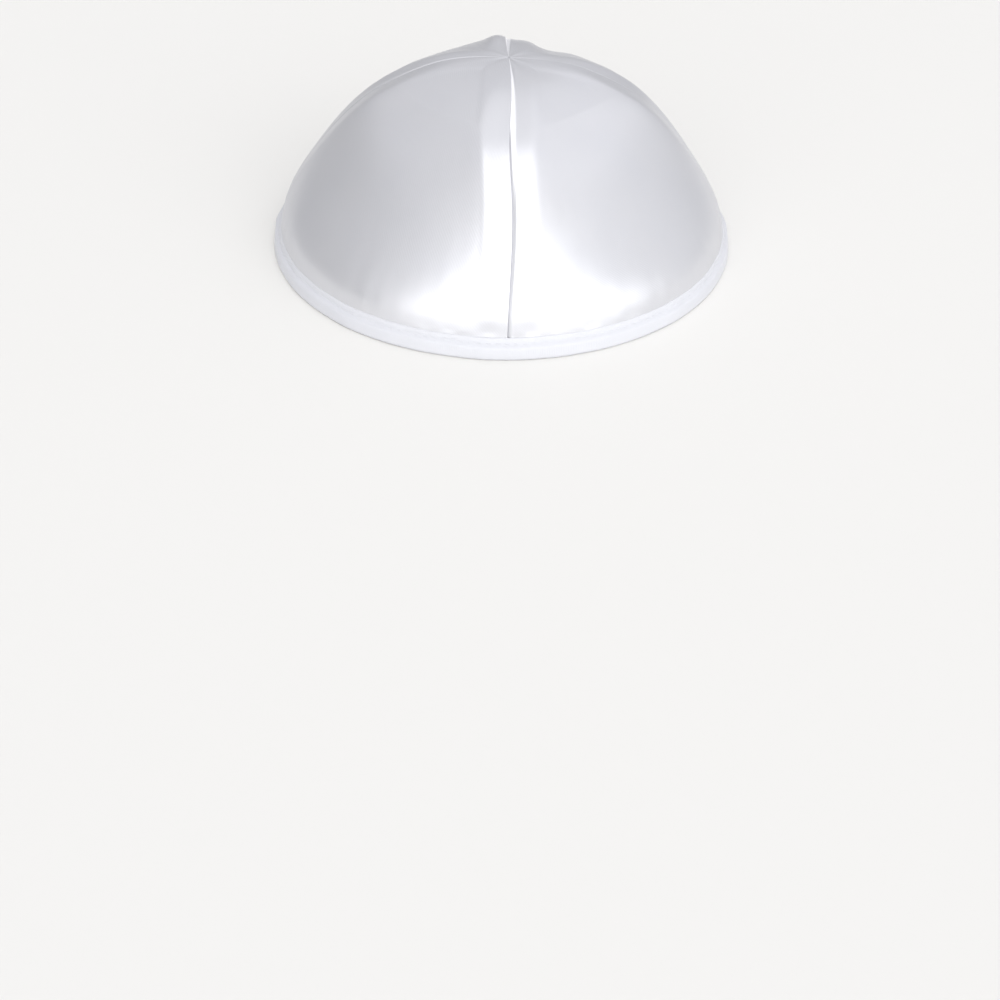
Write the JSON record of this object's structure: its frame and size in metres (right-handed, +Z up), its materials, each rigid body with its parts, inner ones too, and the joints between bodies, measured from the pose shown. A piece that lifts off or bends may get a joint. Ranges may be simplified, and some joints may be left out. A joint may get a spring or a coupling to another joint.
{
  "type": "kippah skullcap",
  "caption": "Shallow domed satin skullcap of four seamed panels, with a folded ribbon binding round its rim.",
  "frame": {"origin": "centre of the ring that the rim rests on, at the lowest face", "axes": "+Z up through the meeting of the seams, -Y towards the back of the wearer's head, +X towards the wearer's right"},
  "size_m": [0.1498, 0.1498, 0.0564],
  "materials": {
    "satin": "white polyester satin with a soft silvery sheen",
    "ribbon": "white satin ribbon, a little more matt than the panels"
  },
  "bodies": {
    "root": {"crown_panel_back_left": "satin", "crown_panel_back_right": "satin", "crown_panel_front_left": "satin", "crown_panel_front_right": "satin", "rim_binding": "ribbon"}
  },
  "joints": []
}
